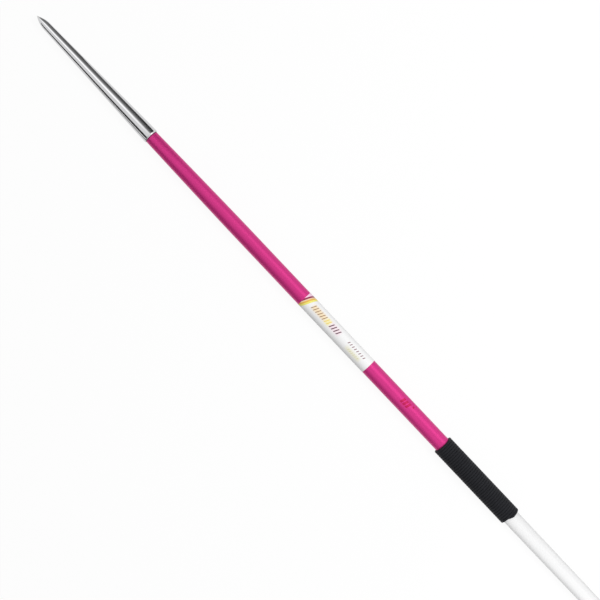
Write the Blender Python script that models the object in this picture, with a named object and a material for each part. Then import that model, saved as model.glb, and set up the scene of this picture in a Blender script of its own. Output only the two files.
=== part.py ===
"""Javelin of the 600 g class, with a polished steel head, an aluminium shaft and a wound cord grip.

It lies along X with the point towards +X, on the underside of its grip, where it balances. The origin is
on the surface that it lies on, below the middle of the grip. A station is a distance back from the tip.
"""

import math

import bmesh
import bpy

# Driving dimensions, in metres
OVERALL_LENGTH = 2.220
HEAD_LENGTH = 0.250
GRIP_FRONT = 0.8845  # station of the grip's front edge
GRIP_LENGTH = 0.150
SHAFT_DIAMETER = 0.0250  # at its thickest, from the end of the neck to the rear of the grip
FRONT_WALL = 0.0010
REAR_WALL = 0.0014  # at the grip
TAIL_WALL = 0.0018  # at the tail, thickened by the drawing down of the tube
NECK_DIAMETER = 0.0210  # of the front tube where it leaves the head
NECK_LENGTH = 0.200  # over which the front tube swells to its full diameter
NECK_POWER = 1.4
TAIL_DIAMETER = 0.0065  # of the rear tube at its end
TAIL_POWER = 1.6

# Fits, in metres
FIT_GAP = 0.0003  # between pieces that seat on or in each other
FILM_GAP = 0.00015  # below a thin film that is stuck on

# Head, in metres
POINT_LENGTH = 0.024
POINT_DIAMETER = 0.0134  # where the point meets the shell
POINT_POWER = 2.2
POINT_NOSE_RADIUS = 0.0005
SPIGOT_DIAMETER = 0.0060
SPIGOT_LENGTH = 0.016
HEAD_REAR_DIAMETER = 0.0245
HEAD_POWER = 1.056
HEAD_BARREL_LENGTH = 0.030  # over which the shell curves in to its rear edge
HEAD_BARREL_DROP = 0.00036
HEAD_WALL = 0.0007  # ahead of the socket
HEAD_NOSE_LENGTH = 0.022  # solid part of the shell behind the point
HEAD_CAVITY_TAPER = 0.008
HEAD_RIM_CHAMFER = 0.0004
SOCKET_DEPTH = 0.050  # length of the front tube that lies inside the head

# Plug, trim weight and screw inside the head, in metres
PLUG_FLANGE_LENGTH = 0.003
PLUG_SPIGOT_LENGTH = 0.022
PLUG_FLANGE_MARGIN = 0.0004  # by which the flange is smaller than the tube's mouth
WEIGHT_DIAMETER = 0.0110
WEIGHT_LENGTH = 0.010
WASHER_DIAMETER = 0.0100
WASHER_LENGTH = 0.0010
SCREW_DIAMETER = 0.0050
SCREW_GRIP = 0.016  # length of the screw's shank inside the plug
SCREW_HEAD_DIAMETER = 0.0085
SCREW_HEAD_LENGTH = 0.0050
SCREW_HOLE_RUNOUT = 0.004  # by which the plug's blind hole is deeper than the screw
HEX_ACROSS_FLATS = 0.0040
HEX_DEPTH = 0.0025
SMALL_CHAMFER = 0.0004

# Splice, label, grip and tail, in metres
SPLICE_LENGTH = 0.120
SPLICE_WALL = 0.0013
LABEL_FRONT = 0.5825  # station of the label's front edge
LABEL_LENGTH = 0.140
LABEL_THICKNESS = 0.00015
TAPE_THICKNESS = 0.00015
TAPE_MARGIN = 0.002  # by which the tape under the cord stops short of each end of the grip
CORD_WIDTH = 0.0033
CORD_THICKNESS = 0.0026
CORD_LEAST_GAP = 0.00055  # between neighbouring turns
REST_FLAT = 0.1 * CORD_THICKNESS  # depth of the flat on the cord where the javelin lies
TAIL_CAP_LENGTH = 0.020
TAIL_CAP_END_DIAMETER = 0.0042
TAIL_CAP_SPIGOT = 0.022

# Counts
SIDES = 40  # of turned tubes
SMALL_SIDES = 24  # of turned pieces inside the head and tail
NOSE_STEPS = 2
POINT_STEPS = 8
HEAD_STEPS = 8
HEAD_BARREL_STEPS = 3
CAVITY_STEPS = 6
NECK_STEPS = 7
TAIL_STEPS = 13
DOME_STEPS = 4
POINTS_PER_TURN = 10  # of the cord
CORD_END_STEP = 4  # whole points between the underside's flat and where the cord's ends lie

# Shading and merging
SHARP_ANGLE = math.radians(35)
MERGE_DISTANCE = 1e-7

# Sizes that follow
SHAFT_RADIUS = SHAFT_DIAMETER / 2
NECK_RADIUS = NECK_DIAMETER / 2
HEAD_BARREL_FRONT = HEAD_LENGTH - HEAD_BARREL_LENGTH
GRIP_MIDDLE = GRIP_FRONT + GRIP_LENGTH / 2
GRIP_REAR = GRIP_FRONT + GRIP_LENGTH
TUBE_MOUTH = HEAD_LENGTH - SOCKET_DEPTH  # station of the front tube's mouth
PLUG_FRONT = TUBE_MOUTH - FIT_GAP - PLUG_FLANGE_LENGTH
WEIGHT_FRONT = PLUG_FRONT - FIT_GAP - WEIGHT_LENGTH
WASHER_FRONT = WEIGHT_FRONT - FIT_GAP - WASHER_LENGTH
SCREW_HOLE_RADIUS = SCREW_DIAMETER / 2 + FIT_GAP
TUBE_END = OVERALL_LENGTH - TAIL_CAP_LENGTH - FIT_GAP  # station of the rear tube's end
WRAP_RADIUS = SHAFT_RADIUS + FILM_GAP  # inner radius of the label and of the grip's tape
TURN_BEND = math.cos(math.pi / POINTS_PER_TURN)  # share of its radius that a turn keeps between two points
CORD_RADIUS = (WRAP_RADIUS + TAPE_THICKNESS + FIT_GAP + CORD_THICKNESS / 2) / TURN_BEND
AXIS_HEIGHT = (CORD_RADIUS + CORD_THICKNESS / 2) * TURN_BEND - REST_FLAT

MATERIALS = {  # colour, metallic, roughness
    "polished_steel": ((0.62, 0.62, 0.63), 1.0, 0.12),
    "zinc_steel": ((0.55, 0.55, 0.53), 1.0, 0.35),
    "bare_aluminium": ((0.60, 0.61, 0.62), 1.0, 0.40),
    "magenta_shaft": ((0.64, 0.03, 0.22), 0.3, 0.35),
    "white_shaft": ((0.80, 0.80, 0.80), 0.0, 0.30),
    "label_film": ((0.82, 0.81, 0.80), 0.0, 0.30),
    "cloth_tape": ((0.10, 0.10, 0.10), 0.0, 0.80),
    "grip_cord": ((0.016, 0.017, 0.019), 0.0, 0.75),
    "tail_rubber": ((0.03, 0.03, 0.03), 0.0, 0.60),
}


def spread(first, last, count):
    """count + 1 evenly spaced values from first to last."""
    return [first + (last - first) * i / count for i in range(count + 1)]


def share(value, first, last):
    """How far value lies from first to last, from 0 to 1."""
    return min(max((value - first) / (last - first), 0.0), 1.0)


def head_radius(station):
    """Outer radius of the head's shell: a slim cone that curves in a little at its rear edge."""
    grown = share(station, POINT_LENGTH, HEAD_LENGTH) ** HEAD_POWER
    curved = share(station, HEAD_BARREL_FRONT, HEAD_LENGTH) ** 2
    growth = HEAD_REAR_DIAMETER / 2 + HEAD_BARREL_DROP - POINT_DIAMETER / 2
    return POINT_DIAMETER / 2 + growth * grown - HEAD_BARREL_DROP * curved


def head_bore(station):
    """Bore radius of the shell: an even wall, then a plain taper in which the front tube seats."""
    if station < TUBE_MOUTH:
        return head_radius(station) - HEAD_WALL
    return shaft_radius(station) + FIT_GAP


def shaft_radius(station):
    """Outer radius of the shaft: a plain taper in the head, a swelling neck, and a taper behind the grip."""
    if station <= HEAD_LENGTH:
        mouth = head_radius(TUBE_MOUTH) - HEAD_WALL - FIT_GAP
        return mouth + (NECK_RADIUS - mouth) * share(station, TUBE_MOUTH, HEAD_LENGTH)
    if station <= GRIP_REAR:
        left = 1 - share(station, HEAD_LENGTH, HEAD_LENGTH + NECK_LENGTH)
        return SHAFT_RADIUS - (SHAFT_RADIUS - NECK_RADIUS) * left**NECK_POWER
    gone = share(station, GRIP_REAR, TUBE_END) ** TAIL_POWER
    return SHAFT_RADIUS - (SHAFT_RADIUS - TAIL_DIAMETER / 2) * gone


def front_bore(station):
    """Bore radius of the front tube, whose wall is even."""
    return shaft_radius(station) - FRONT_WALL


def rear_bore(station):
    """Bore radius of the rear tube, whose wall thickens steadily towards the tail."""
    wall = REAR_WALL + (TAIL_WALL - REAR_WALL) * share(station, GRIP_REAR, TUBE_END)
    return shaft_radius(station) - wall


def clear_scene():
    for obj in list(bpy.data.objects):
        bpy.data.objects.remove(obj)


def material(name):
    """The named Principled material, made on first use."""
    found = bpy.data.materials.get(name)
    if found:
        return found
    colour, metallic, roughness = MATERIALS[name]
    made = bpy.data.materials.new(name)
    made.use_nodes = True
    shader = made.node_tree.nodes["Principled BSDF"]
    shader.inputs["Base Color"].default_value = (*colour, 1.0)
    shader.inputs["Metallic"].default_value = metallic
    shader.inputs["Roughness"].default_value = roughness
    made.diffuse_color = (*colour, 1.0)
    return made


def make_axis():
    """The empty that carries every piece, on the javelin's axis above the middle of the grip."""
    axis = bpy.data.objects.new("javelin_axis", None)
    axis.location = (0, 0, AXIS_HEIGHT)
    bpy.context.scene.collection.objects.link(axis)
    return axis


def place(name, mesh, material_name, station, axis):
    """An object for the mesh, parented to the axis, with its origin at that station."""
    obj = bpy.data.objects.new(name, mesh)
    obj.data.materials.append(material(material_name))
    obj.parent = axis
    obj.location = (GRIP_MIDDLE - station, 0, 0)
    bpy.context.scene.collection.objects.link(obj)
    return obj


def turned(name, outline, sides, material_name, station, axis):
    """A piece turned about the javelin's axis. Its outline holds (station, radius) pairs in order.

    An outline that starts and ends on the axis is a solid piece, and any other one is a closed ring.
    """
    bm = bmesh.new()
    verts = [bm.verts.new((station - back, 0, radius)) for back, radius in outline]
    ends = list(zip(verts, verts[1:]))
    if outline[0][1] > 0:
        ends.append((verts[-1], verts[0]))
    edges = [bm.edges.new(pair) for pair in ends]
    whole = {"angle": 2 * math.pi, "steps": sides, "use_merge": True}
    bmesh.ops.spin(bm, geom=verts + edges, cent=(0, 0, 0), axis=(1, 0, 0), **whole)
    bmesh.ops.remove_doubles(bm, verts=bm.verts[:], dist=MERGE_DISTANCE)
    bmesh.ops.recalc_face_normals(bm, faces=bm.faces[:])
    mesh = bpy.data.meshes.new(name)
    bm.to_mesh(mesh)
    bm.free()
    mesh.shade_smooth()
    mesh.set_sharp_from_angle(angle=SHARP_ANGLE)
    return place(name, mesh, material_name, station, axis)


def collar(front, back, inner, outer):
    """The outline of a plain ring, given its two stations and its two radii."""
    return [(front, inner), (front, outer), (back, outer), (back, inner)]


def pipe(stations, outer, inner):
    """The outline of a tube whose radii are functions: its skin front to rear, then its bore forwards."""
    skin = [(s, outer(s)) for s in stations]
    bore = [(s, inner(s)) for s in reversed(stations)]
    return skin + bore


def make_point(axis):
    """The hardened point: an ogive with a spigot that seats in the shell's nose."""
    radius = POINT_DIAMETER / 2
    nose = POINT_LENGTH * (1 - (1 - POINT_NOSE_RADIUS / radius) ** (1 / POINT_POWER))
    outline = []
    for angle in spread(0.0, math.pi / 2, NOSE_STEPS)[:-1]:
        outline.append((nose * (1 - math.cos(angle)), POINT_NOSE_RADIUS * math.sin(angle)))
    for station in spread(nose, POINT_LENGTH, POINT_STEPS):
        outline.append((station, radius * (1 - (1 - station / POINT_LENGTH) ** POINT_POWER)))
    end = POINT_LENGTH + SPIGOT_LENGTH
    outline += [(POINT_LENGTH, SPIGOT_DIAMETER / 2), (end - SMALL_CHAMFER, SPIGOT_DIAMETER / 2)]
    outline += [(end, SPIGOT_DIAMETER / 2 - SMALL_CHAMFER), (end, 0.0)]
    turned("head_point", outline, SIDES, "polished_steel", 0.0, axis)


def make_head_shell(axis):
    """The hollow cone: a solid nose bored for the point's spigot, then a thin wall to the open socket."""
    front = POINT_LENGTH + FIT_GAP
    bore = SPIGOT_DIAMETER / 2 + FIT_GAP
    nose_end = front + HEAD_NOSE_LENGTH
    cavity = nose_end + HEAD_CAVITY_TAPER
    stations = spread(front, HEAD_BARREL_FRONT, HEAD_STEPS)
    stations += spread(HEAD_BARREL_FRONT, HEAD_LENGTH - HEAD_RIM_CHAMFER, HEAD_BARREL_STEPS)[1:]
    outline = [(s, head_radius(s)) for s in stations]
    outline.append((HEAD_LENGTH, head_radius(HEAD_LENGTH) - HEAD_RIM_CHAMFER))
    stations = spread(cavity, TUBE_MOUTH, CAVITY_STEPS) + [HEAD_LENGTH]
    outline += [(s, head_bore(s)) for s in reversed(stations)]
    outline += [(nose_end, bore), (front, bore)]
    turned("head_shell", outline, SIDES, "polished_steel", front, axis)


def make_nose_plug(axis):
    """The turned plug that closes the front tube's mouth and carries the trim weight."""
    flange_back = TUBE_MOUTH - FIT_GAP
    flange = shaft_radius(TUBE_MOUTH) - PLUG_FLANGE_MARGIN
    spigot = front_bore(TUBE_MOUTH) - FIT_GAP
    hole_end = PLUG_FRONT + SCREW_GRIP + SCREW_HOLE_RUNOUT
    end = TUBE_MOUTH + PLUG_SPIGOT_LENGTH
    outline = [(hole_end, 0.0), (hole_end, SCREW_HOLE_RADIUS), (PLUG_FRONT, SCREW_HOLE_RADIUS)]
    outline += [(PLUG_FRONT, flange - SMALL_CHAMFER), (PLUG_FRONT + SMALL_CHAMFER, flange)]
    outline += [(flange_back, flange), (flange_back, spigot)]
    outline += [(end - SMALL_CHAMFER, spigot), (end, spigot - SMALL_CHAMFER), (end, 0.0)]
    turned("nose_plug", outline, SMALL_SIDES, "bare_aluminium", PLUG_FRONT, axis)


def make_trim_weight(axis):
    """The steel slug that trims the javelin's mass and balance."""
    back = PLUG_FRONT - FIT_GAP
    radius = WEIGHT_DIAMETER / 2
    outline = [(WEIGHT_FRONT, SCREW_HOLE_RADIUS), (WEIGHT_FRONT, radius - SMALL_CHAMFER)]
    outline += [(WEIGHT_FRONT + SMALL_CHAMFER, radius), (back - SMALL_CHAMFER, radius)]
    outline += [(back, radius - SMALL_CHAMFER), (back, SCREW_HOLE_RADIUS)]
    turned("trim_weight", outline, SMALL_SIDES, "zinc_steel", WEIGHT_FRONT, axis)


def make_washer(axis):
    """The washer between the screw's head and the trim weight."""
    back = WEIGHT_FRONT - FIT_GAP
    outline = collar(WASHER_FRONT, back, SCREW_HOLE_RADIUS, WASHER_DIAMETER / 2)
    turned("weight_washer", outline, SMALL_SIDES, "zinc_steel", WASHER_FRONT, axis)


def make_hex_cutter(station, axis):
    """The guide that cuts the hexagon socket into the screw's head, centred on the head's front face."""
    corner = HEX_ACROSS_FLATS / 2 / math.cos(math.pi / 6)
    depth = 2 * HEX_DEPTH
    bm = bmesh.new()
    bmesh.ops.create_cone(bm, cap_ends=True, segments=6, radius1=corner, radius2=corner, depth=depth)
    mesh = bpy.data.meshes.new("hex_cutter")
    bm.to_mesh(mesh)
    bm.free()
    cutter = place("hex_cutter", mesh, "zinc_steel", station, axis)
    cutter.rotation_euler = (0, math.pi / 2, 0)
    cutter.hide_render = True
    cutter.display_type = "WIRE"
    return cutter


def make_weight_screw(axis):
    """The socket-head screw that clamps the washer and weight to the plug."""
    seat = WASHER_FRONT - FIT_GAP
    front = seat - SCREW_HEAD_LENGTH
    end = PLUG_FRONT + SCREW_GRIP
    head = SCREW_HEAD_DIAMETER / 2
    shank = SCREW_DIAMETER / 2
    outline = [(front, 0.0), (front, head - SMALL_CHAMFER), (front + SMALL_CHAMFER, head)]
    outline += [(seat, head), (seat, shank), (end - SMALL_CHAMFER, shank)]
    outline += [(end, shank - SMALL_CHAMFER), (end, 0.0)]
    screw = turned("weight_screw", outline, SMALL_SIDES, "zinc_steel", front, axis)
    socket = screw.modifiers.new("hex_socket", "BOOLEAN")
    socket.operation = "DIFFERENCE"
    socket.object = make_hex_cutter(front, axis)


def make_shaft(axis):
    """The two tubes of the shaft, which meet under the middle of the grip."""
    stations = [TUBE_MOUTH] + spread(HEAD_LENGTH, HEAD_LENGTH + NECK_LENGTH, NECK_STEPS)
    stations.append(GRIP_MIDDLE - FIT_GAP / 2)
    outline = pipe(stations, shaft_radius, front_bore)
    turned("front_tube", outline, SIDES, "magenta_shaft", TUBE_MOUTH, axis)

    front = GRIP_MIDDLE + FIT_GAP / 2
    stations = [front] + spread(GRIP_REAR, TUBE_END, TAIL_STEPS)
    turned("rear_tube", pipe(stations, shaft_radius, rear_bore), SIDES, "white_shaft", front, axis)


def make_splice(axis):
    """The sleeve inside the shaft that joins the tubes, turned to one size for each tube's bore."""
    front = GRIP_MIDDLE - SPLICE_LENGTH / 2
    step = GRIP_MIDDLE - FIT_GAP / 2
    back = GRIP_MIDDLE + SPLICE_LENGTH / 2
    wide = SHAFT_RADIUS - FRONT_WALL - FIT_GAP
    narrow = SHAFT_RADIUS - REAR_WALL - FIT_GAP
    inner = min(wide, narrow) - SPLICE_WALL
    outline = [(front, inner), (front, wide - SMALL_CHAMFER), (front + SMALL_CHAMFER, wide)]
    outline += [(step, wide), (step, narrow), (back - SMALL_CHAMFER, narrow)]
    outline += [(back, narrow - SMALL_CHAMFER), (back, inner)]
    turned("splice_sleeve", outline, SIDES, "bare_aluminium", front, axis)


def make_label(axis):
    """The printed film wrapped once round the front tube."""
    back = LABEL_FRONT + LABEL_LENGTH
    outline = collar(LABEL_FRONT, back, WRAP_RADIUS, WRAP_RADIUS + LABEL_THICKNESS)
    turned("label_wrap", outline, SIDES, "label_film", LABEL_FRONT, axis)


def make_grip_tape(axis):
    """The adhesive tape round the shaft, below the cord."""
    front = GRIP_FRONT + TAPE_MARGIN
    outline = collar(front, GRIP_REAR - TAPE_MARGIN, WRAP_RADIUS, WRAP_RADIUS + TAPE_THICKNESS)
    turned("grip_tape", outline, SIDES, "cloth_tape", front, axis)


def cord_rings():
    """The six corners of the cord's section at each point of its winding, as one list of rings.

    The section is a flattened hexagon, wide along the shaft. The winding is a right-handed helix in one
    layer. Its ends lie the same number of points round from the underside, so a turn's flat is at x = 0.
    """
    half_width = CORD_WIDTH / 2
    half_thickness = CORD_THICKNESS / 2
    section = [(half_width, 0.0), (half_width / 2, half_thickness), (-half_width / 2, half_thickness)]
    section += [(-along, -out) for along, out in section]
    length = GRIP_LENGTH - CORD_WIDTH
    most_steps = POINTS_PER_TURN * length / (CORD_WIDTH + CORD_LEAST_GAP)
    whole = 2 * POINTS_PER_TURN
    steps = whole * int((most_steps + 2 * CORD_END_STEP + 1) // whole) - 2 * CORD_END_STEP - 1
    step_angle = 2 * math.pi / POINTS_PER_TURN
    first_angle = -math.pi / 2 + step_angle * (0.5 + CORD_END_STEP)
    rings = []
    for i in range(steps + 1):
        angle = first_angle + step_angle * i
        x = length * (i / steps - 0.5)
        ring = []
        for along, out in section:
            radius = CORD_RADIUS + out
            z = max(radius * math.sin(angle), -AXIS_HEIGHT)
            ring.append((x + along, radius * math.cos(angle), z))
        rings.append(ring)
    return rings


def least_gap(rings):
    """The least distance between corners of the cord on neighbouring turns."""
    near = range(POINTS_PER_TURN - 1, POINTS_PER_TURN + 2)
    pairs = ((i, i + turn) for i in range(len(rings)) for turn in near if i + turn < len(rings))
    return min(math.dist(p, q) for i, j in pairs for p in rings[i] for q in rings[j])


def make_grip_cord(axis):
    """The cord that is wound over the tape in one unbroken length."""
    rings = cord_rings()
    turns = (len(rings) - 1) / POINTS_PER_TURN
    print(f"grip_cord: {turns:.1f} turns, least gap to itself {1000 * least_gap(rings):.2f} mm")
    bm = bmesh.new()
    loops = [[bm.verts.new(corner) for corner in ring] for ring in rings]
    for one, two in zip(loops, loops[1:]):
        for k in range(len(one)):
            bm.faces.new((one[k - 1], one[k], two[k], two[k - 1]))
    bm.faces.new(loops[0])
    bm.faces.new(loops[-1])
    bmesh.ops.recalc_face_normals(bm, faces=bm.faces[:])
    mesh = bpy.data.meshes.new("grip_cord")
    bm.to_mesh(mesh)
    bm.free()
    place("grip_cord", mesh, "grip_cord", GRIP_MIDDLE, axis)


def make_tail_cap(axis):
    """The moulded cap that closes the tail, with a spigot inside the rear tube."""
    front = TUBE_END + FIT_GAP
    spigot = TAIL_DIAMETER / 2 - TAIL_WALL - FIT_GAP
    spigot_front = TUBE_END - TAIL_CAP_SPIGOT
    end = TAIL_CAP_END_DIAMETER / 2
    dome = OVERALL_LENGTH - end
    outline = [(spigot_front, 0.0), (spigot_front, spigot - SMALL_CHAMFER)]
    outline += [(spigot_front + SMALL_CHAMFER, spigot), (front, spigot), (front, TAIL_DIAMETER / 2)]
    for angle in spread(0.0, math.pi / 2, DOME_STEPS)[:-1]:
        outline.append((dome + end * math.sin(angle), end * math.cos(angle)))
    outline.append((OVERALL_LENGTH, 0.0))
    turned("tail_cap", outline, SMALL_SIDES, "tail_rubber", front, axis)


def main():
    clear_scene()
    axis = make_axis()
    make_point(axis)
    make_head_shell(axis)
    make_nose_plug(axis)
    make_trim_weight(axis)
    make_washer(axis)
    make_weight_screw(axis)
    make_shaft(axis)
    make_splice(axis)
    make_label(axis)
    make_grip_tape(axis)
    make_grip_cord(axis)
    make_tail_cap(axis)


main()
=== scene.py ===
import math

import bpy
import numpy as np
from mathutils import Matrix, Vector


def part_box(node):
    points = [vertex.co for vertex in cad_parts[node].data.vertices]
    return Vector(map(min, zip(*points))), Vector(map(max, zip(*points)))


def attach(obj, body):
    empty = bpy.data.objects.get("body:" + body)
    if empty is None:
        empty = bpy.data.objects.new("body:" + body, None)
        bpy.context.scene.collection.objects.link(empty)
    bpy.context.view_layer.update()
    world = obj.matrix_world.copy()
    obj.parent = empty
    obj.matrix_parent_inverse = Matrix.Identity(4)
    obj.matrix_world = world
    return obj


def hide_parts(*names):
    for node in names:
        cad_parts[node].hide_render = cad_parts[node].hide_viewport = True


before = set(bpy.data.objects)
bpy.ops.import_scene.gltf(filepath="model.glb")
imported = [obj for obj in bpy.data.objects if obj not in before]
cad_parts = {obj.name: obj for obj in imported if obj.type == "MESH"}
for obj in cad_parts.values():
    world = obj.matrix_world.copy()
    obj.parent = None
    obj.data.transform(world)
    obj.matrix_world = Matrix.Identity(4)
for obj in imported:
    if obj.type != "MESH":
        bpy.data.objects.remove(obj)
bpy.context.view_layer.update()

# Places read from the solids, in metres. A station is a distance back from the tip.
MM = 0.001
HEAD_INSET = 0.6 * MM  # by which the cone ends ahead of its solid
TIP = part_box("head_point")[1].x
AXIS = (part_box("rear_tube")[0].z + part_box("rear_tube")[1].z) / 2
SHELL_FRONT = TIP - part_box("head_shell")[1].x
SHELL_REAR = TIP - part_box("head_shell")[0].x - HEAD_INSET
SPIGOT_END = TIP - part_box("head_point")[0].x
TUBE_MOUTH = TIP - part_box("front_tube")[1].x
SHAFT_JOINT = TIP - (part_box("front_tube")[0].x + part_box("rear_tube")[1].x) / 2
TUBE_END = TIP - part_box("rear_tube")[0].x
LABEL_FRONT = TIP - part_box("label_wrap")[1].x
LABEL_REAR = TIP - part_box("label_wrap")[0].x
TAPE_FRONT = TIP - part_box("grip_tape")[1].x
TAPE_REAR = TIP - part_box("grip_tape")[0].x
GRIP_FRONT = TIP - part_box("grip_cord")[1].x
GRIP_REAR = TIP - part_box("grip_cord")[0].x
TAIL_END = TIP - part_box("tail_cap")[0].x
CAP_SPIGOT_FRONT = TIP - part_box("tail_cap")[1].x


def half_height(node):
    """Half the height of a turned node, which is its largest radius."""
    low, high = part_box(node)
    return (high.z - low.z) / 2


POINT_RADIUS = half_height("head_point")
SHELL_RADIUS = half_height("head_shell")
SHAFT_RADIUS = half_height("front_tube")
TAIL_RADIUS = half_height("tail_cap")
LABEL_RADIUS = half_height("label_wrap")
TAPE_RADIUS = half_height("grip_tape")

# Turned shapes: lengths in metres, and the powers that their profiles follow
SEAT_GAP = 0.3 * MM
HAIRLINE = 0.03 * MM
POINT_POWER = 2.2
NOSE_RADIUS = 0.5 * MM
SPIGOT_RADIUS = 3.0 * MM
HEAD_POWER = 1.056
HEAD_BARREL = 30 * MM
HEAD_DROP = 0.36 * MM
HEAD_WALL = 0.7 * MM
HEAD_NOSE = 22 * MM
HEAD_CAVITY_TAPER = 8 * MM
HEAD_RIM = 0.5 * MM
HEAD_RIM_LENGTH = 2.4 * MM
NECK_RADIUS = 10.5 * MM
NECK_LENGTH = 200 * MM
NECK_POWER = 1.4
TAIL_POWER = 1.6
FRONT_WALL = 1.0 * MM
REAR_WALL = 1.4 * MM
TAIL_WALL = 1.8 * MM
CAP_END_RADIUS = 2.1 * MM
SMALL_BEVEL = 0.1 * MM

# Points on the turned shapes: along each stretch of a profile, and round the axis
NOSE_STEPS = 10
OGIVE_STEPS = 60
OGIVE_CROWDING = 1.6
CONE_STEPS = 96
RIM_STEPS = 8
CAVITY_STEPS = 48
SOCKET_STEPS = 12
FRONT_STEPS = 120
REAR_STEPS = 140
CAP_STEPS = 24
CAP_END_STEPS = 14
TUBE_SIDES = 128
CONE_SIDES = 160
CAP_SIDES = 96
SHARP_ANGLE = 35

# Label: lengths in metres, and its points along and round the shaft
FILM = 0.15 * MM
FILM_LIFT = 0.03 * MM
LABEL_INSET = 0.6 * MM
LABEL_LAP = 5 * MM
LABEL_LAP_RAMP = 1.2 * MM
LABEL_STEPS_ALONG = 40
LABEL_STEPS_AROUND = 200

# Grip cord: turns are counted from the rear end, and an angle is measured from +Y towards +Z. The dome,
# the tuck and the scarf at its ends are so many turns long.
CORD_START = math.radians(70)
CORD_TURNS = 37.529
CORD_LAST_TURN = 37
CORD_HALF_THICKNESS = 1.585 * MM
CORD_SQUARENESS = 4.0
CORD_FILL = 0.985
CORD_SIDES = 18
CORD_STEPS_PER_TURN = 72
CORD_SHARP_ANGLE = 80
CORD_END_DOME = 0.018
CORD_END_STEPS = 7
CORD_TUCK = 0.11
TUCK_NARROWING = 0.5
TUCK_THINNING = 0.4
CORD_SCARF = 0.1
SCARF_NARROWING = 0.75
SCARF_THINNING = 0.3
SCARF_SHIFT = 0.37
CORD_REAR_INSET = 0.5 * MM
TAPE_INSET = 3.2 * MM
CORD_STRAIGHTENED = (20, 32)
CORD_SHIFT = 0.2
CORD_FLAT_SOFTNESS = 0.12 * MM


def smooth_step(value):
    """0 below 0, 1 above 1, and an S-shaped rise between them."""
    held = np.clip(value, 0.0, 1.0)
    return held * held * (3.0 - 2.0 * held)


def grid_faces(rows, columns, wrap_rows, wrap_columns):
    """The four corners of every cell of a grid of points numbered row by row.

    A direction that wraps joins its last line of points to its first.
    """
    row = np.arange(rows if wrap_rows else rows - 1)
    column = np.arange(columns if wrap_columns else columns - 1)
    row, column = np.meshgrid(row, column, indexing="ij")
    down = np.stack([row, row, row + 1, row + 1], axis=-1).reshape(-1, 4)
    across = np.stack([column, column + 1, column + 1, column], axis=-1).reshape(-1, 4)
    return (down % rows) * columns + across % columns, down, across


def fan(ring, pole):
    """Triangles from each edge of a closed ring of points to one pole."""
    return np.stack([ring, np.roll(ring, -1), np.full(len(ring), pole)], axis=-1)


def volume(points, faces):
    """Signed volume under the faces: the sum of the tetrahedra from the origin to their triangles."""
    total = 0.0
    for last in range(2, faces.shape[1]):
        a, b, c = points[faces[:, 0]], points[faces[:, last - 1]], points[faces[:, last]]
        total += np.einsum("ij,ij->i", a, np.cross(b, c)).sum() / 6
    return total


def make_piece(name, points, parts, uv=None, sharp=SHARP_ANGLE):
    """A closed object from points and arrays of faces, turned so that its faces point outwards.

    The UV pairs, where given, belong to the corners of the first array of faces.
    """
    if sum(volume(points, part) for part in parts) < 0:
        parts = [part[:, ::-1] for part in parts]
        uv = None if uv is None else uv[:, ::-1]
    mesh = bpy.data.meshes.new(name)
    mesh.from_pydata(points.tolist(), [], [face for part in parts for face in part.tolist()])
    if uv is not None:
        layer = mesh.uv_layers.new(name="surface")
        rest = np.zeros(2 * len(mesh.loops) - uv.size)
        layer.data.foreach_set("uv", np.concatenate([uv.ravel(), rest]))
    mesh.shade_smooth()
    mesh.set_sharp_from_angle(angle=math.radians(sharp))
    piece = bpy.data.objects.new(name, mesh)
    bpy.context.scene.collection.objects.link(piece)
    return piece


def turned(name, station, radius, sides):
    """A profile of stations and radii carried once round the axis: x = tip - station, and the radius
    is laid off along (cos, sin) of the angle. Ends on the axis become poles, and otherwise the profile
    is a closed loop.
    """
    solid = radius[0] == 0
    if solid:
        ends = np.array([[TIP - station[0], 0, AXIS], [TIP - station[-1], 0, AXIS]])
        station, radius = station[1:-1], radius[1:-1]
    angle = np.linspace(0, 2 * math.pi, sides, endpoint=False)
    points = np.empty((len(station), sides, 3))
    points[..., 0] = TIP - station[:, None]
    points[..., 1] = radius[:, None] * np.cos(angle)
    points[..., 2] = AXIS + radius[:, None] * np.sin(angle)
    points = points.reshape(-1, 3)
    parts = [grid_faces(len(station), sides, not solid, True)[0]]
    if solid:
        first = np.arange(sides)
        last = first + (len(station) - 1) * sides
        parts += [fan(first[::-1], len(points)), fan(last, len(points) + 1)]
        points = np.concatenate([points, ends])
    return make_piece(name, points, parts)


def outline(*stretches):
    """One profile from stretches that are each (stations, radii), with single numbers spread to fit."""
    pairs = [np.broadcast_arrays(*map(np.atleast_1d, stretch)) for stretch in stretches]
    return np.concatenate([p[0] for p in pairs]), np.concatenate([p[1] for p in pairs])


def head_radius(station):
    """Radius of the steel cone: it grows from the point's radius with a power of the way back, less a
    small drop that grows with the square of the way along its last stretch.
    """
    way = np.clip((station - SHELL_FRONT) / (SHELL_REAR - SHELL_FRONT), 0, 1)
    curved = np.clip((station - SHELL_REAR) / HEAD_BARREL + 1, 0, 1)
    growth = SHELL_RADIUS + HEAD_DROP - POINT_RADIUS
    return POINT_RADIUS + growth * way**HEAD_POWER - HEAD_DROP * curved**2


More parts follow.
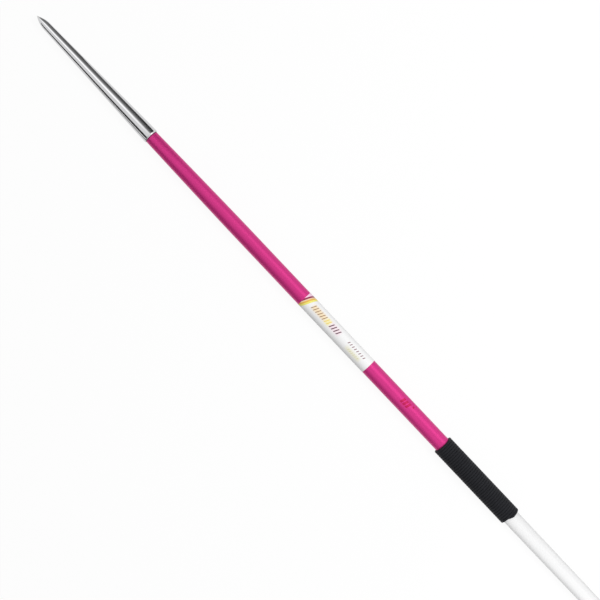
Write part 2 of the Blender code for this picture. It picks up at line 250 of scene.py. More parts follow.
def shaft_radius(station):
    """Radius of the shaft: a plain taper inside the head, behind it it swells quickly at first and then
    less, it is even up to the rear of the grip, and from there it tapers with a power of the way.
    """
    mouth = head_radius(TUBE_MOUTH) - HEAD_WALL - SEAT_GAP
    inside = mouth + (NECK_RADIUS - mouth) * (station - TUBE_MOUTH) / (SHELL_REAR - TUBE_MOUTH)
    left = np.clip(1 - (station - SHELL_REAR) / NECK_LENGTH, 0, 1)
    neck = SHAFT_RADIUS - (SHAFT_RADIUS - NECK_RADIUS) * left**NECK_POWER
    gone = np.clip((station - GRIP_REAR) / (TUBE_END - GRIP_REAR), 0, 1)
    tail = SHAFT_RADIUS - (SHAFT_RADIUS - TAIL_RADIUS) * gone**TAIL_POWER
    return np.where(station < SHELL_REAR, inside, np.where(station < GRIP_REAR, neck, tail))


def make_point():
    """The point: the radius at a distance a behind the tip is the base radius times
    1 - (1 - a / length) ^ power, behind a small round nose, and a spigot seats in the cone.
    """
    length = SHELL_FRONT - HAIRLINE
    nose = 1 - (1 - NOSE_RADIUS / POINT_RADIUS) ** (1 / POINT_POWER)
    turn = np.linspace(0, math.pi / 2, NOSE_STEPS)[:-1]
    back = nose + (1 - nose) * np.linspace(0, 1, OGIVE_STEPS) ** OGIVE_CROWDING
    ogive = POINT_RADIUS * (1 - (1 - back) ** POINT_POWER)
    station, radius = outline(
        (length * nose * (1 - np.cos(turn)), NOSE_RADIUS * np.sin(turn)),
        (length * back, ogive),
        ([length, SPIGOT_END - SMALL_BEVEL], SPIGOT_RADIUS),
        (SPIGOT_END, [SPIGOT_RADIUS - SMALL_BEVEL, 0]),
    )
    return turned("steel_point", station, radius, TUBE_SIDES)


def make_cone():
    """The cone: a bored nose, a thin wall behind it, and a rounded rim round the tapered socket."""
    bore = SPIGOT_RADIUS + SEAT_GAP
    rim = head_radius(SHELL_REAR - HEAD_RIM_LENGTH)
    nose_end = SHELL_FRONT + HEAD_NOSE
    skin = np.linspace(SHELL_FRONT, SHELL_REAR - HEAD_RIM_LENGTH, CONE_STEPS)
    turn = np.linspace(0, math.pi / 2, RIM_STEPS)[1:]
    cavity = np.linspace(SHELL_REAR, nose_end + HEAD_CAVITY_TAPER, CAVITY_STEPS)
    hollow = head_radius(cavity) - HEAD_WALL
    socket = shaft_radius(cavity) + SEAT_GAP
    station, radius = outline(
        (skin, head_radius(skin)),
        (SHELL_REAR + HEAD_RIM_LENGTH * (np.sin(turn) - 1), rim + HEAD_RIM * (np.cos(turn) - 1)),
        (cavity, np.where(cavity < TUBE_MOUTH, hollow, socket)),
        ([nose_end, SHELL_FRONT], bore),
    )
    return turned("steel_cone", station, radius, CONE_SIDES)


def make_front_tube():
    """The front tube, with an even wall from its mouth in the head to the joint below the grip."""
    rear = SHAFT_JOINT - SEAT_GAP / 2
    socket = np.linspace(TUBE_MOUTH, SHELL_REAR, SOCKET_STEPS)[:-1]
    skin = np.concatenate([socket, np.linspace(SHELL_REAR, rear, FRONT_STEPS)])
    back = skin[::-1]
    station, radius = outline((skin, shaft_radius(skin)), (back, shaft_radius(back) - FRONT_WALL))
    return turned("magenta_tube", station, radius, TUBE_SIDES)


def make_rear_tube():
    """The rear tube, whose wall thickens steadily from the grip to the tail."""
    skin = np.linspace(SHAFT_JOINT + SEAT_GAP / 2, TUBE_END, REAR_STEPS)
    back = skin[::-1]
    gone = np.clip((back - GRIP_REAR) / (TUBE_END - GRIP_REAR), 0, 1)
    wall = REAR_WALL + (TAIL_WALL - REAR_WALL) * gone
    station, radius = outline((skin, shaft_radius(skin)), (back, shaft_radius(back) - wall))
    return turned("white_tube", station, radius, TUBE_SIDES)


def make_tail_stub():
    """The tail cap: a spigot in the tube, a shoulder, a slight taper and a round end."""
    shoulder = TUBE_END + HAIRLINE
    spigot = TAIL_RADIUS - TAIL_WALL - SEAT_GAP
    side = shoulder + SMALL_BEVEL
    dome = TAIL_END - CAP_END_RADIUS
    way = np.linspace(0, 1, CAP_STEPS)
    turn = np.linspace(0, math.pi / 2, CAP_END_STEPS)[1:-1]
    station, radius = outline(
        (CAP_SPIGOT_FRONT, [0, spigot - SMALL_BEVEL]),
        ([CAP_SPIGOT_FRONT + SMALL_BEVEL, shoulder], spigot),
        (shoulder, TAIL_RADIUS - SMALL_BEVEL),
        (side + (dome - side) * way, TAIL_RADIUS + (CAP_END_RADIUS - TAIL_RADIUS) * way),
        (dome + CAP_END_RADIUS * np.sin(turn), CAP_END_RADIUS * np.cos(turn)),
        (TAIL_END, 0),
    )
    return turned("tail_stub", station, radius, CAP_SIDES)


def make_label():
    """The printed film. Its section, a thin closed strip along the shaft, is carried round a little more
    than once, and the radius steps out by the film's thickness before it laps onto its first edge.
    """
    lap = LABEL_LAP / LABEL_RADIUS
    ramp = LABEL_LAP_RAMP / LABEL_RADIUS
    around = np.linspace(-math.pi - lap / 2, math.pi + lap / 2, LABEL_STEPS_AROUND)
    lift = (FILM + HAIRLINE) * smooth_step((around - math.pi + lap / 2 + ramp) / ramp)
    skin = np.linspace(LABEL_FRONT + LABEL_INSET, LABEL_REAR, LABEL_STEPS_ALONG)
    base = SHAFT_RADIUS + FILM_LIFT
    station = np.concatenate([skin, skin[::-1]])
    height = np.repeat([base + FILM, base], len(skin))
    radius = height[:, None] + lift
    points = np.empty((len(station), len(around), 3))
    points[..., 0] = TIP - station[:, None]
    points[..., 1] = -radius * np.sin(around)
    points[..., 2] = AXIS + radius * np.cos(around)
    faces, down, across = grid_faces(len(station), len(around), True, False)
    rows = np.arange(len(skin) - 1)
    other = len(station) - 1 - rows
    edge = np.stack([rows, rows + 1, other - 1, other], axis=-1) * len(around)
    parts = [faces, edge[:, ::-1], edge + len(around) - 1]
    along = (station[down % len(station)] - LABEL_FRONT) / MM
    uv = np.stack([along, around[across] * LABEL_RADIUS / MM], axis=-1)
    return make_piece("printed_label", points.reshape(-1, 3), parts, uv)


def make_tape():
    """The cloth tape below the cord: a thin even tube, which stops short of the cord's rear turn."""
    rear = TAPE_REAR - TAPE_INSET
    inner = SHAFT_RADIUS + FILM_LIFT
    station, radius = outline(([TAPE_FRONT, rear], TAPE_RADIUS), ([rear, TAPE_FRONT], inner))
    return turned("tape_wrap", station, radius, TUBE_SIDES)


def cord_advance(turns):
    """How far along the shaft the cord has come, in pitches, after a number of turns from its rear end.

    Towards the front, a turn runs straight round over the top and moves on by a pitch across the
    underside, and further back it becomes an even screw. The very last turn doesn't move on.
    """
    counted = turns + (CORD_START + math.pi / 2) / (2 * math.pi)
    whole = np.floor(counted)
    part = counted - whole
    rise = 0.5 * np.sin(np.clip(part / CORD_SHIFT, 0, 1) * math.pi / 2)
    fall = 0.5 - 0.5 * np.sin(np.clip((1 - part) / CORD_SHIFT, 0, 1) * math.pi / 2)
    stepped = whole + rise + np.where(whole < CORD_LAST_TURN, fall, 0)
    first, last = CORD_STRAIGHTENED
    share = smooth_step((counted - first) / (last - first))
    return counted + share * (stepped - counted)


def make_cord():
    """The grip's cord, wound in one layer. A flattened section, wide along the shaft, is carried along a
    screw line: section points are (|cos| ^ p, |sin| ^ p) with their signs, and p = 2 / squareness.
    Its ends are domed, the front one is thinned and tucked in, the rear one is narrowed to a slant, and
    the underside is pressed flat.
    """
    dome = CORD_END_DOME * (1 - np.cos(np.linspace(0, math.pi / 2, CORD_END_STEPS)))[1:]
    steps = int(CORD_TURNS * CORD_STEPS_PER_TURN)
    inner = np.linspace(dome[-1], CORD_TURNS - dome[-1], steps)[1:-1]
    turns = np.concatenate([dome, inner, (CORD_TURNS - dome)[::-1]])
    ends = np.minimum(turns, CORD_TURNS - turns) / CORD_END_DOME
    size = np.sqrt(1 - (1 - np.clip(ends, 0, 1)) ** 2)
    tuck = 1 - smooth_step((CORD_TURNS - turns) / CORD_TUCK)
    travel = cord_advance(np.array([0.0, CORD_TURNS]))
    pitch_count = travel[1] - travel[0] + 1
    rear = GRIP_REAR - CORD_REAR_INSET
    pitch = (rear - GRIP_FRONT) / pitch_count
    scarf = 1 - smooth_step(turns / CORD_SCARF)
    narrowed = (1 - TUCK_NARROWING * tuck) * (1 - SCARF_NARROWING * scarf)
    thinned = (1 - TUCK_THINNING * tuck) * (1 - SCARF_THINNING * scarf)
    half_width = CORD_FILL * pitch / 2 * size * narrowed
    half_thickness = CORD_HALF_THICKNESS * size * thinned
    bed = TAPE_RADIUS + HAIRLINE
    middle = bed + CORD_HALF_THICKNESS * thinned
    station = rear - pitch * (cord_advance(turns) - travel[0] + 0.5 + SCARF_SHIFT * scarf)
    corner = np.linspace(0, 2 * math.pi, CORD_SIDES, endpoint=False)
    power = 2 / CORD_SQUARENESS
    wide = np.sign(np.cos(corner)) * np.abs(np.cos(corner)) ** power
    thick = np.sign(np.sin(corner)) * np.abs(np.sin(corner)) ** power
    radius = middle[:, None] + half_thickness[:, None] * thick
    angle = (CORD_START + 2 * math.pi * turns)[:, None]
    points = np.empty((len(turns), CORD_SIDES, 3))
    points[..., 0] = TIP - station[:, None] + half_width[:, None] * wide
    points[..., 1] = radius * np.cos(angle)
    points[..., 2] = AXIS + radius * np.sin(angle)
    height = points[..., 2]
    points[..., 2] = (height + np.sqrt(height**2 + CORD_FLAT_SOFTNESS**2)) / 2
    points = points.reshape(-1, 3)
    faces, down, across = grid_faces(len(turns), CORD_SIDES, False, True)
    first = np.arange(CORD_SIDES)
    last = first + (len(turns) - 1) * CORD_SIDES
    poles = np.stack([points[first].mean(axis=0), points[last].mean(axis=0)])
    parts = [faces, fan(first[::-1], len(points)), fan(last, len(points) + 1)]
    along = turns * 2 * math.pi * (bed + CORD_HALF_THICKNESS) / MM
    uv = np.stack([along[down], across / CORD_SIDES], axis=-1)
    points = np.concatenate([points, poles])
    return make_piece("wound_cord", points, parts, uv, CORD_SHARP_ANGLE)


class Value:
    """A number or vector that a node gives out. Arithmetic on it adds Math nodes."""

    def __init__(self, nodes, socket):
        self.nodes = nodes
        self.socket = socket

    def output(self, name):
        return Value(self.nodes, self.socket.node.outputs[name])

    def maths(self, operation, *terms, clamp=False):
        settings = {"operation": operation, "use_clamp": clamp}
        sockets = dict(zip(("Value", "Value_001", "Value_002"), terms))
        return self.nodes.add("ShaderNodeMath", settings, sockets)

    def __add__(self, other):
        return self.maths("ADD", self, other)

    def __sub__(self, other):
        return self.maths("SUBTRACT", self, other)

    def __rsub__(self, other):
        return self.maths("SUBTRACT", other, self)

    def __mul__(self, other):
        return self.maths("MULTIPLY", self, other)

    def __truediv__(self, other):
        return self.maths("DIVIDE", self, other)

    def __neg__(self):
        return self.maths("MULTIPLY", self, -1.0)

    __radd__ = __add__
    __rmul__ = __mul__

    def sine(self):
        return self.maths("SINE", self)

    def size(self):
        return self.maths("ABSOLUTE", self)

    def fraction(self):
        return self.maths("FRACT", self)

    def held(self):
        return self.maths("ADD", self, 0.0, clamp=True)

    def above(self, edge, softness):
        """0 below the edge and 1 above it, with a ramp that is as wide as the softness."""
        return ((self - edge) / softness + 0.5).held()

    def between(self, low, high, softness):
        """1 from low to high and 0 outside, with soft edges."""
        return self.above(low, softness) * (1 - self.above(high, softness))


class Nodes:
    """The nodes of one material, lamp or world."""

    def __init__(self, owner):
        owner.use_nodes = True
        self.tree = owner.node_tree
        self.tree.nodes.clear()

    def add(self, kind, settings=None, sockets=None, result=None):
        """One node: its settings first, then the values or links of its sockets. Gives out one result."""
        node = self.tree.nodes.new(kind)
        for name, value in (settings or {}).items():
            setattr(node, name, value)
        by_name = {socket.identifier: socket for socket in node.inputs}
        for name, value in (sockets or {}).items():
            if isinstance(value, Value):
                self.tree.links.new(value.socket, by_name[name])
            else:
                by_name[name].default_value = value
        outputs = {socket.identifier: socket for socket in node.outputs}
        if not outputs:
            return node
        return Value(self, outputs[result] if result else node.outputs[0])

    def place(self):
        """The piece's own coordinates, in metres, as a vector."""
        return self.add("ShaderNodeTexCoord", result="Object")

    def split(self, vector):
        """The three numbers of a vector."""
        parts = self.add("ShaderNodeSeparateXYZ", sockets={"Vector": vector})
        return [parts.output(name) for name in "XYZ"]

    def flat_place(self):
        """The two numbers of the piece's UV map."""
        return self.split(self.add("ShaderNodeTexCoord", result="UV"))[:2]

    def noise(self, vector, stretch, detail, roughness=0.5):
        """Noise from 0 to 1 whose grain is one unit after the coordinates are stretched."""
        factors = {"Vector": vector, "Vector_001": stretch}
        scaled = self.add("ShaderNodeVectorMath", {"operation": "MULTIPLY"}, factors)
        sockets = {"Vector": scaled, "Scale": 1.0, "Detail": detail, "Roughness": roughness}
        return self.add("ShaderNodeTexNoise", sockets=sockets)

    def blend(self, share, first, second):
        """The first colour where share is 0 and the second where it is 1."""
        sockets = {"Factor_Float": share, "A_Color": opaque(first), "B_Color": opaque(second)}
        return self.add("ShaderNodeMix", {"data_type": "RGBA"}, sockets, "Result_Color")

    def bump(self, height, distance, strength):
        """A normal tilted by a height from 0 to 1 that stands for the distance, in metres."""
        sockets = {"Height": height, "Distance": distance, "Strength": strength}
        return self.add("ShaderNodeBump", sockets=sockets)

    def shade(self, **sockets):
        """The principled shader, wired to the output. Underscores in names stand for spaces."""
        named = {name.replace("_", " "): value for name, value in sockets.items()}
        surface = self.add("ShaderNodeBsdfPrincipled", sockets=named)
        self.add("ShaderNodeOutputMaterial", sockets={"Surface": surface})


def opaque(value):
    """A colour written as three numbers gets its fourth, and anything else stays as it is."""
    return (*value, 1.0) if isinstance(value, tuple) and len(value) == 3 else value


def new_material(name):
    material = bpy.data.materials.new(name)
    return material, Nodes(material)


# Finishes: colours are linear red, green and blue, and a pair holds the two that a pattern blends
STEEL_COLOURS = ((0.66, 0.66, 0.67), (0.60, 0.60, 0.61))
STEEL_USED_LENGTH = 30 * MM
ZINC_COLOURS = ((0.60, 0.60, 0.57), (0.50, 0.50, 0.47))
ZINC_ROUGHNESS = 0.28
ALUMINIUM_COLOURS = ((0.66, 0.67, 0.68), (0.58, 0.59, 0.60))
ALUMINIUM_ROUGHNESS = 0.32
MAGENTA_COLOURS = ((0.64, 0.028, 0.226), (0.60, 0.024, 0.210))
MAGENTA_METAL = 0.5
WHITE_COLOURS = ((0.79, 0.79, 0.79), (0.77, 0.77, 0.775))
WHITE_METAL = 0.0
LACQUER_GLOSS = 0.50
HANDLED_REACH = 120
# The cord's first, darker colour is painted shade for the grooves between its strands
CORD_COLOURS_WITH_GROOVE_SHADE = ((0.0030, 0.0030, 0.0040), (0.0115, 0.0120, 0.0155))
CORD_FIBRE_COLOUR = (0.040, 0.041, 0.047)
CORD_GLOSS = 0.15
BRAID_LENGTH = 2.6
BRAID_STRANDS = 5
TAPE_COLOURS = ((0.012, 0.012, 0.012), (0.035, 0.035, 0.036))
TAPE_GLOSS = 0.2
TAPE_THREADS = 6.3
RUBBER_COLOURS = ((0.020, 0.020, 0.021), (0.038, 0.038, 0.040))
RUBBER_GLOSS = 0.35
FILM_GLOSS = 0.35


def polished_steel():
    """Ground and polished steel: very fine marks run round it, and the tip is slightly dulled by use."""
    material, nodes = new_material("polished_steel")
    place = nodes.place()
    x = nodes.split(place)[0]
    marks = nodes.noise(place, (5200, 90, 90), 3.0, 0.6)
    cloud = nodes.noise(place, (60, 220, 220), 2.0)
    scuffs = nodes.noise(place, (900, 2600, 2600), 1.0).above(0.66, 0.05)
    used = (1 - (TIP - x) / STEEL_USED_LENGTH).held()
    nodes.shade(
        Base_Color=nodes.blend(cloud, *STEEL_COLOURS),
        Metallic=1.0,
        Roughness=0.055 + 0.045 * marks + 0.02 * cloud + 0.16 * used * scuffs + 0.08 * used,
        Normal=nodes.bump(marks, 0.002 * MM, 0.25),
    )
    return material


def round_the_shaft(nodes, place):
    """Station behind the tip, and distance round the shaft from its top towards -Y, both in millimetres."""
    x, y, z = nodes.split(place)
    angle = y.maths("ARCTAN2", -y, z - AXIS)
    return (TIP - x) / MM, angle * (SHAFT_RADIUS / MM)


def lacquer(name, colours, metallic, marks=None):
    """Satin-gloss lacquer on drawn tube: a faint orange peel, slight clouds in the colour, hairline rubs
    along the shaft, and more of them beside the grip, where hands slide. Painted shade darkens the corner
    behind the head.
    """
    material, nodes = new_material(name)
    place = nodes.place()
    station, around = round_the_shaft(nodes, place)
    peel = nodes.noise(place, (650, 650, 650), 1.0)
    cloud = nodes.noise(place, (18, 90, 90), 2.0)
    rubs = nodes.noise(place, (160, 5200, 5200), 2.0).above(0.64, 0.08)
    handled = 1 - ((station - GRIP_FRONT / MM).size() / HANDLED_REACH).held()
    # Painted shade: a dark ring on the lacquer in the corner just behind the head's rim
    joint_shade = station.between(*JOINT_SHADE_BAND, JOINT_SHADE_SOFTNESS) * (0.5 + 0.5 * cloud)
    base = nodes.blend(joint_shade, nodes.blend(cloud, *colours), JOINT_SHADE_COLOUR)
    if marks:
        base = nodes.blend(marks(station, around), base, MARK_COLOUR)
    nodes.shade(
        Base_Color=base,
        Metallic=metallic,
        Roughness=0.30 + 0.05 * peel + 0.05 * cloud + (0.04 + 0.10 * handled) * rubs,
        Specular_IOR_Level=LACQUER_GLOSS,
        Normal=nodes.bump(peel + 0.25 * rubs, 0.012 * MM, 0.35),
    )
    return material


# Painted shade in the corner behind the head, in millimetres back from the tip
JOINT_SHADE_BAND = (SHELL_REAR / MM - 1.0, SHELL_REAR / MM + 1.1)
JOINT_SHADE_SOFTNESS = 0.6
JOINT_SHADE_COLOUR = (0.06, 0.008, 0.03)

# Print, in millimetres back from the tip or from the label's front edge, and round from the top to -Y.
# A stripe has its start, end and colour, a wash its ends, band, strength and colour, and a row of bars its
# start, count and pitch, then the width of a bar, its band and its colour.
MARK_SLANT = 0.28
MARK_BARS = (791.6, 797.1, 802.6)
MARK_BAR_WIDTH = 4.0
MARK_BAND = (-2.0, 7.6)
MARK_DOT = (813.2, 6.8, 1.7)
MARK_COLOUR = (0.49, 0.004, 0.085)
PRINT_SOFTNESS = 0.35
FILM_COLOURS = ((0.94, 0.94, 0.94), (0.92, 0.92, 0.925))
STRIPE_SLANT = 0.43
STRIPES = (
    (-6.0, 0.4, (0.97, 0.66, 0.82)),
    (0.4, 3.3, (0.30, 0.014, 0.075)),
    (3.3, 5.0, (0.93, 0.66, 0.46)),
    (5.0, 7.9, (0.86, 0.52, 0.09)),
    (7.9, 10.9, (0.93, 0.86, 0.18)),
)
WASH_SOFTNESS = 4.5
WASHES = (
    ((18, 46), (-2.6, 6.6), 0.80, (0.94, 0.73, 0.42)),
    ((46, 55), (-3.0, 6.8), 0.75, (0.94, 0.84, 0.32)),
    ((56, 76), (-3.0, 7.4), 0.60, (0.93, 0.70, 0.78)),
    ((95, 124), (-8.0, -1.0), 0.45, (0.88, 0.84, 0.52)),
)
BAR_SLANT = 0.45
ROW_SOFTNESS = 0.01
BAR_ROWS = (
    ((17.2, 6, 4.7), 1.1, (-2.4, 6.4), (0.24, 0.10, 0.05)),
    ((45.4, 2, 4.7), 1.4, (-2.4, 6.4), (0.88, 0.66, 0.14)),
    ((55.8, 4, 4.9), 1.7, (-2.4, 6.4), (0.11, 0.03, 0.055)),
    ((91.9, 8, 4.6), 1.5, (1.5, 5.6), (0.26, 0.13, 0.15)),
    ((99.0, 6, 3.8), 1.4, (-6.4, -2.6), (0.78, 0.76, 0.50)),
)


def shaft_mark(station, around):
    """A printed mark between label and grip: three short slanted bars and a dot."""
    slanted = station - MARK_SLANT * around
    bars = sum(slanted.between(start, start + MARK_BAR_WIDTH, PRINT_SOFTNESS) for start in MARK_BARS)
    along, across, radius = MARK_DOT
    square = (station - along) * (station - along) + (around - across) * (around - across)
    dot = 1 - square.above(radius**2, radius)
    return (bars * around.between(*MARK_BAND, PRINT_SOFTNESS) + dot).held()


def row_of_bars(along, around, places, width, band):
    """Where a row of slanted bars is printed: places are its start, its count and its pitch."""
    first, count, pitch = places
    moved = (along - BAR_SLANT * (around - sum(band) / 2) - first) / pitch
    half = width / pitch / 2
    bar = moved.fraction().between(0.5 - half, 0.5 + half, PRINT_SOFTNESS / pitch)
    return bar * moved.between(0, count, ROW_SOFTNESS) * around.between(*band, PRINT_SOFTNESS)


def label_film():
    """White film with a slight gloss, printed with slanted stripes at its front, then a row of slanted
    bars over washes of amber, yellow and pink, and at its rear small ticks over a pale yellow patch.
    """
    material, nodes = new_material("label_film")
    along, around = nodes.flat_place()
    grain = nodes.noise(nodes.place(), (900, 900, 900), 2.0)
    stripes = along - STRIPE_SLANT * around
    base = nodes.blend(grain, *FILM_COLOURS)
    for low, high, colour in STRIPES:
        base = nodes.blend(stripes.between(low, high, PRINT_SOFTNESS), base, colour)
    for ends, band, strength, colour in WASHES:
        wash = along.between(*ends, WASH_SOFTNESS) * around.between(*band, WASH_SOFTNESS)
        base = nodes.blend(strength * wash, base, colour)
    for places, width, band, colour in BAR_ROWS:
        base = nodes.blend(row_of_bars(along, around, places, width, band), base, colour)
    nodes.shade(
        Base_Color=base,
        Roughness=0.28 + 0.06 * grain,
        Specular_IOR_Level=FILM_GLOSS,
        Normal=nodes.bump(grain, 0.006 * MM, 0.3),
    )
    return material


def braided_cord():
    """Black braided cord: two families of strands cross slantwise, with painted shade darkening the grooves
    between them, and stray lighter fibres.
    """
    material, nodes = new_material("grip_cord")
    place = nodes.place()
    along, around = nodes.flat_place()
    left = (along / BRAID_LENGTH + BRAID_STRANDS * around) * math.pi
    right = (along / BRAID_LENGTH - BRAID_STRANDS * around) * math.pi
    strands = (left.sine() * right.sine()).size()
    fibres = nodes.noise(place, (5200, 5200, 5200), 2.0)
    worn = nodes.noise(place, (70, 70, 70), 2.0)
    # Painted shade: the colour darkens where the strands dip into the grooves
    groove_shaded = nodes.blend(strands, *CORD_COLOURS_WITH_GROOVE_SHADE)
    nodes.shade(
        Base_Color=nodes.blend(0.5 * fibres * worn, groove_shaded, CORD_FIBRE_COLOUR),
        Roughness=0.50 + 0.16 * fibres,
        Specular_IOR_Level=CORD_GLOSS,
        Normal=nodes.bump(strands + 0.35 * fibres, 0.12 * MM, 0.7),
    )
    return material


def cloth_tape():
    """Black cloth tape with a plain weave."""
    material, nodes = new_material("cloth_tape")
    place = nodes.place()
    station, around = round_the_shaft(nodes, place)
    weave = ((station * TAPE_THREADS).sine() * (around * TAPE_THREADS).sine() + 1) / 2
    nodes.shade(
        Base_Color=nodes.blend(weave, *TAPE_COLOURS),
        Roughness=0.80 + 0.1 * weave,
        Specular_IOR_Level=TAPE_GLOSS,
        Normal=nodes.bump(weave, 0.05 * MM, 0.5),
    )
    return material


def turned_metal(name, colours, roughness):
    """Turned metal, plated or bare: rings from the lathe tool, and a faint cloudiness."""
    material, nodes = new_material(name)
    place = nodes.place()
    rings = nodes.noise(place, (3500, 60, 60), 2.0)
    cloud = nodes.noise(place, (300, 300, 300), 3.0)
    nodes.shade(
        Base_Color=nodes.blend(cloud, *colours),
        Metallic=1.0,
        Roughness=roughness + 0.10 * rings + 0.06 * cloud,
        Normal=nodes.bump(rings, 0.01 * MM, 0.4),
    )
    return material


def tail_rubber():
    """Moulded black rubber, matt, with a fine pebbled grain."""
    material, nodes = new_material("tail_rubber")
    place = nodes.place()
    grain = nodes.noise(place, (2600, 2600, 2600), 3.0)
    nodes.shade(
        Base_Color=nodes.blend(grain, *RUBBER_COLOURS),
        Roughness=0.55 + 0.15 * grain,
        Specular_IOR_Level=RUBBER_GLOSS,
        Normal=nodes.bump(grain, 0.04 * MM, 0.5),
    )
    return material


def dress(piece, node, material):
    """A new piece that stands for a node of the frame: it takes the given material and hangs from the root
    body, and the node is hidden.
    """
    piece.data.materials.append(material)
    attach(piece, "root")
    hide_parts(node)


def refinish(node, material):
    """A node of the frame that stays, with a better material."""
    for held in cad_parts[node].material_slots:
        held.material = material


steel = polished_steel()
zinc = turned_metal("zinc_steel", ZINC_COLOURS, ZINC_ROUGHNESS)
aluminium = turned_metal("bare_aluminium", ALUMINIUM_COLOURS, ALUMINIUM_ROUGHNESS)
magenta = lacquer("magenta_shaft", MAGENTA_COLOURS, MAGENTA_METAL, shaft_mark)
white = lacquer("white_shaft", WHITE_COLOURS, WHITE_METAL)

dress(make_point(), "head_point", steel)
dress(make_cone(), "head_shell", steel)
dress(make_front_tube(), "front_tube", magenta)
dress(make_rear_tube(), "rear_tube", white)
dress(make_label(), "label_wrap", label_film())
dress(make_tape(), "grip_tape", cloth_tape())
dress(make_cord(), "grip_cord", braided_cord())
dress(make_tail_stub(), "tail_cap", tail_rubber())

refinish("nose_plug", aluminium)
refinish("splice_sleeve", aluminium)
refinish("trim_weight", zinc)
refinish("weight_washer", zinc)
refinish("weight_screw", zinc)

# Studio: the camera looks straight down, with the javelin lying from upper left to lower right
PIXELS = 600
FOCAL_PIXELS = 1180
SENSOR = 36
PIXELS_PER_MM = 0.667
SLOPE = (0.687066, 0.726598)
VIEW_CENTRE = (0.37915, 0.0061)

AMBIENT = 0.48
KEY_LEVEL = 0.93
KEY_TILT = math.radians(25)
KEY_DISTANCE = 2.3
KEY_X = -0.8
KEY_SIZE = 1.6
FILL_LEVEL = 0.26
FILL_TILT = math.radians(60)
FILL_DISTANCE = 1.6
FILL_X = -0.66
FILL_CONE = math.radians(45)
FILL_BLEND = 0.15
FILL_RADIUS = 0.06
FLOOR_GLOW = 0.93
FLOOR_WHITE = 0.95
FLOOR_BOUNCE = 0.32
FLOOR_REACH = 40.0
CARD_RADIUS = 1.45
CARD_LIFT = 0.5 * MM
CARD_STEPS = 60
LEAST_DROP = 1e-6

# Cards, each with a section of (degrees, level) and its columns of (x, shift, gain, least)
CARDS = {
    "head_strip": (
        [(-6, 1), (16, 1)],
        [
            (0.88, 0, 0.95, 0),
            (1.02, 0, 1.1, 0),
            (1.10, 0, 1.38, 0),
            (1.2, 0, 1.62, 0),
            (3.5, 0, 1.62, 0),
        ],
    ),
    "head_dark_near": (
        [(20, 0.75), (30, 0.42), (42, 0.24), (60, 0.11), (74, 0.06), (107, 0.05)],
        [
            (0.88, 0, 0.6, 0),
            (1.02, 0, 0.6, 0),
            (1.08, 0, 0.8, 0),
            (1.2, 0, 1.1, 0.11),
            (1.38, 0, 1.2, 0.18),
            (1.5, 0, 1.2, 0.24),
            (3.5, 0, 1.2, 0.24),
        ],
    ),
    "head_dark_far": (
        [(-91, 0.055), (-60, 0.055)],
        [
            (0.88, 13, 1, 0),
            (1.05, 13, 1, 0),
            (1.12, 11, 1, 0),
            (1.2, 5, 0.6, 0),
            (1.4, 0, 0.5, 0),
            (2.1, 0, 0.8, 0),
        ],
    ),
    "shaft_strip": (
        [(15, 1.0), (25, 1.8), (45, 1.8), (60, 1.0)],
        [
            (-3.5, 0, 0.8, 0),
            (-0.4, 0, 0.8, 0),
            (-0.2, 0, 1.1, 0),
            (0.1, 0, 1.1, 0),
            (0.48, 0, 0.95, 0),
            (0.75, 0, 0.9, 0),
            (0.87, 0, 1.2, 0),
        ],
    ),
    "shaft_dark_far": (
        [(-100, 0.2), (-60, 0.3), (-35, 0.65), (-12, 0.9)],
        [
            (-3.5, 0, 1.7, 1.4),
            (-0.4, 0, 1.7, 1.4),
            (-0.3, 0, 1.7, 0),
            (-0.12, 0, 1.7, 0),
            (0.04, 0, 1.4, 0),
            (0.48, 0, 1.15, 0),
            (0.87, 0, 0.85, 0),
        ],
    ),
    "tail_strip": (
        [(62, 1.0), (80, 2.2), (125, 2.6)],
        [(-3.5, 0, 1, 0), (-0.4, 0, 1, 0)],
    ),
}


def make_camera():
    """A camera straight above the middle of the view, turned so that the shaft crosses it at its slope."""
    data = bpy.data.cameras.new("camera")
    data.sensor_fit = "HORIZONTAL"
    data.sensor_width = SENSOR
    data.lens = FOCAL_PIXELS / PIXELS * SENSOR
    camera = bpy.data.objects.new("camera", data)
    camera.location = (*VIEW_CENTRE, AXIS + FOCAL_PIXELS / PIXELS_PER_MM * MM)
    camera.rotation_euler = (0, 0, math.atan2(-SLOPE[1], -SLOPE[0]))
    bpy.context.scene.collection.objects.link(camera)
    bpy.context.scene.camera = camera


def seen_directly(nodes):
    """1 for rays from the camera or off a mirror or through glass, and 0 for the rest."""
    path = nodes.add("ShaderNodeLightPath")
    either = path.maths("MAXIMUM", path.output("Is Camera Ray"), path.output("Is Glossy Ray"))
    return path.maths("MAXIMUM", either, path.output("Is Transmission Ray"))


def make_world():
    """White where it is seen directly, and a dim even light otherwise."""
    world = bpy.data.worlds.new("studio")
    bpy.context.scene.world = world
    nodes = Nodes(world)
    strength = AMBIENT + (1 - AMBIENT) * seen_directly(nodes)
    surface = nodes.add("ShaderNodeBackground", sockets={"Color": (1, 1, 1, 1), "Strength": strength})
    nodes.add("ShaderNodeOutputWorld", sockets={"Surface": surface})


def make_key():
    """A large soft lamp over the rear half of the shaft, to its -Y side."""
    lamp = bpy.data.lights.new("key", "AREA")
    lamp.shape = "SQUARE"
    lamp.size = KEY_SIZE
    lamp.energy = 4 * math.pi * KEY_LEVEL * KEY_DISTANCE**2
    key = bpy.data.objects.new("key", lamp)
    key.location = (KEY_X, -KEY_DISTANCE * math.sin(KEY_TILT), AXIS + KEY_DISTANCE * math.cos(KEY_TILT))
    key.rotation_euler = (-KEY_TILT, 0, 0)
    key.visible_glossy = False
    bpy.context.scene.collection.objects.link(key)


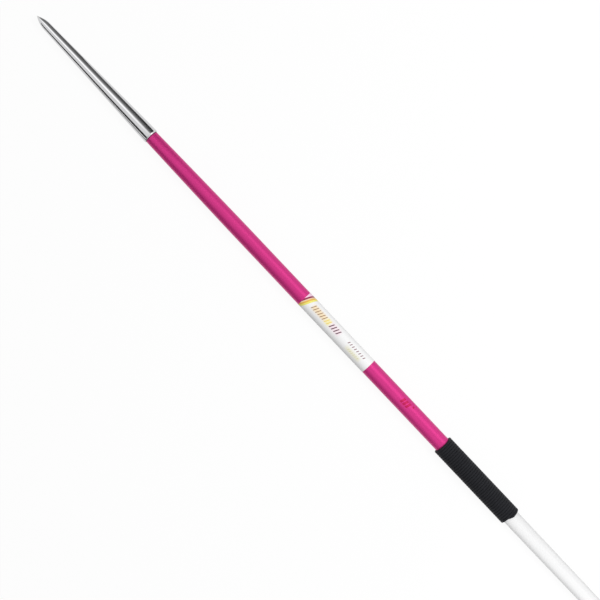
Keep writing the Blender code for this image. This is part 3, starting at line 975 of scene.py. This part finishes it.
def make_fill():
    """A soft spot lamp over the white part of the shaft, to its +Y side."""
    lamp = bpy.data.lights.new("fill", "SPOT")
    lamp.spot_size = FILL_CONE
    lamp.spot_blend = FILL_BLEND
    lamp.shadow_soft_size = FILL_RADIUS
    lamp.energy = 4 * math.pi**2 * FILL_LEVEL * FILL_DISTANCE**2
    fill = bpy.data.objects.new("fill", lamp)
    fill.location = (FILL_X, FILL_DISTANCE * math.sin(FILL_TILT), AXIS + FILL_DISTANCE * math.cos(FILL_TILT))
    fill.rotation_euler = (FILL_TILT, 0, math.pi)
    fill.visible_glossy = False
    bpy.context.scene.collection.objects.link(fill)


def make_sheet(name, points, columns):
    """An open sheet of the studio from rows of points."""
    mesh = bpy.data.meshes.new(name)
    faces = grid_faces(len(points) // columns, columns, False, False)[0]
    mesh.from_pydata(points.tolist(), [], faces.tolist())
    mesh.shade_smooth()
    made = bpy.data.objects.new(name, mesh)
    bpy.context.scene.collection.objects.link(made)
    return made


def make_floor():
    """The pale floor: it glows where it is seen directly and keeps the shadows on the rest."""
    edges = (-FLOOR_REACH, FLOOR_REACH)
    points = np.array([[x, y, 0] for x in edges for y in edges])
    floor = make_sheet("floor", points, 2)
    material, nodes = new_material("pale_floor")
    seen = seen_directly(nodes)
    colour = nodes.blend(seen, (FLOOR_BOUNCE,) * 3, (FLOOR_WHITE,) * 3)
    matt = nodes.add("ShaderNodeBsdfDiffuse", sockets={"Color": colour})
    glow = nodes.add("ShaderNodeEmission", sockets={"Color": (1, 1, 1, 1), "Strength": 1.0})
    share = FLOOR_GLOW * seen
    surface = nodes.add("ShaderNodeMixShader", sockets={"Fac": share, "Shader": matt, "Shader_001": glow})
    nodes.add("ShaderNodeOutputMaterial", sockets={"Surface": surface})
    material.cycles.emission_sampling = "NONE"
    floor.data.materials.append(material)


def make_card(name, stops, columns):
    """A long curved card, seen only in gloss: a part of a tube round the shaft, drawn in where it would
    reach the floor. Its level follows stops of (degrees, level), where degrees are counted from straight
    up towards -Y. Columns of (x, shift, gain, least) turn the whole section by some degrees, multiply its
    level, and keep it from falling lower, place by place along the shaft.
    """
    degrees, levels = np.array(stops).T
    x, shift, gain, least = np.array(columns).T
    across = np.linspace(degrees[0], degrees[-1], CARD_STEPS)[:, None]
    angle = np.radians(across + shift)
    drop = np.maximum(-np.cos(angle), LEAST_DROP)
    radius = np.minimum(CARD_RADIUS, (AXIS - CARD_LIFT) / drop)
    points = np.stack([x + 0 * angle, -radius * np.sin(angle), AXIS + radius * np.cos(angle)], axis=-1)
    card = make_sheet(name, points.reshape(-1, 3), len(x))
    level = np.maximum(np.interp(across, degrees, levels) * gain, least)
    paint = card.data.color_attributes.new("level", "FLOAT_COLOR", "POINT")
    paint.data.foreach_set("color", np.stack([level] * 3 + [1 + 0 * level], axis=-1).ravel())
    material, nodes = new_material(name)
    shade = nodes.add("ShaderNodeAttribute", {"attribute_name": "level"}, result="Color")
    surface = nodes.add("ShaderNodeEmission", sockets={"Color": shade, "Strength": 1.0})
    nodes.add("ShaderNodeOutputMaterial", sockets={"Surface": surface})
    material.cycles.emission_sampling = "NONE"
    card.data.materials.append(material)
    card.visible_camera = False
    card.visible_diffuse = False
    card.visible_shadow = False


bpy.context.scene.view_settings.view_transform = "Standard"
make_camera()
make_world()
make_key()
make_fill()
make_floor()
for name, (stops, columns) in CARDS.items():
    make_card(name, stops, columns)
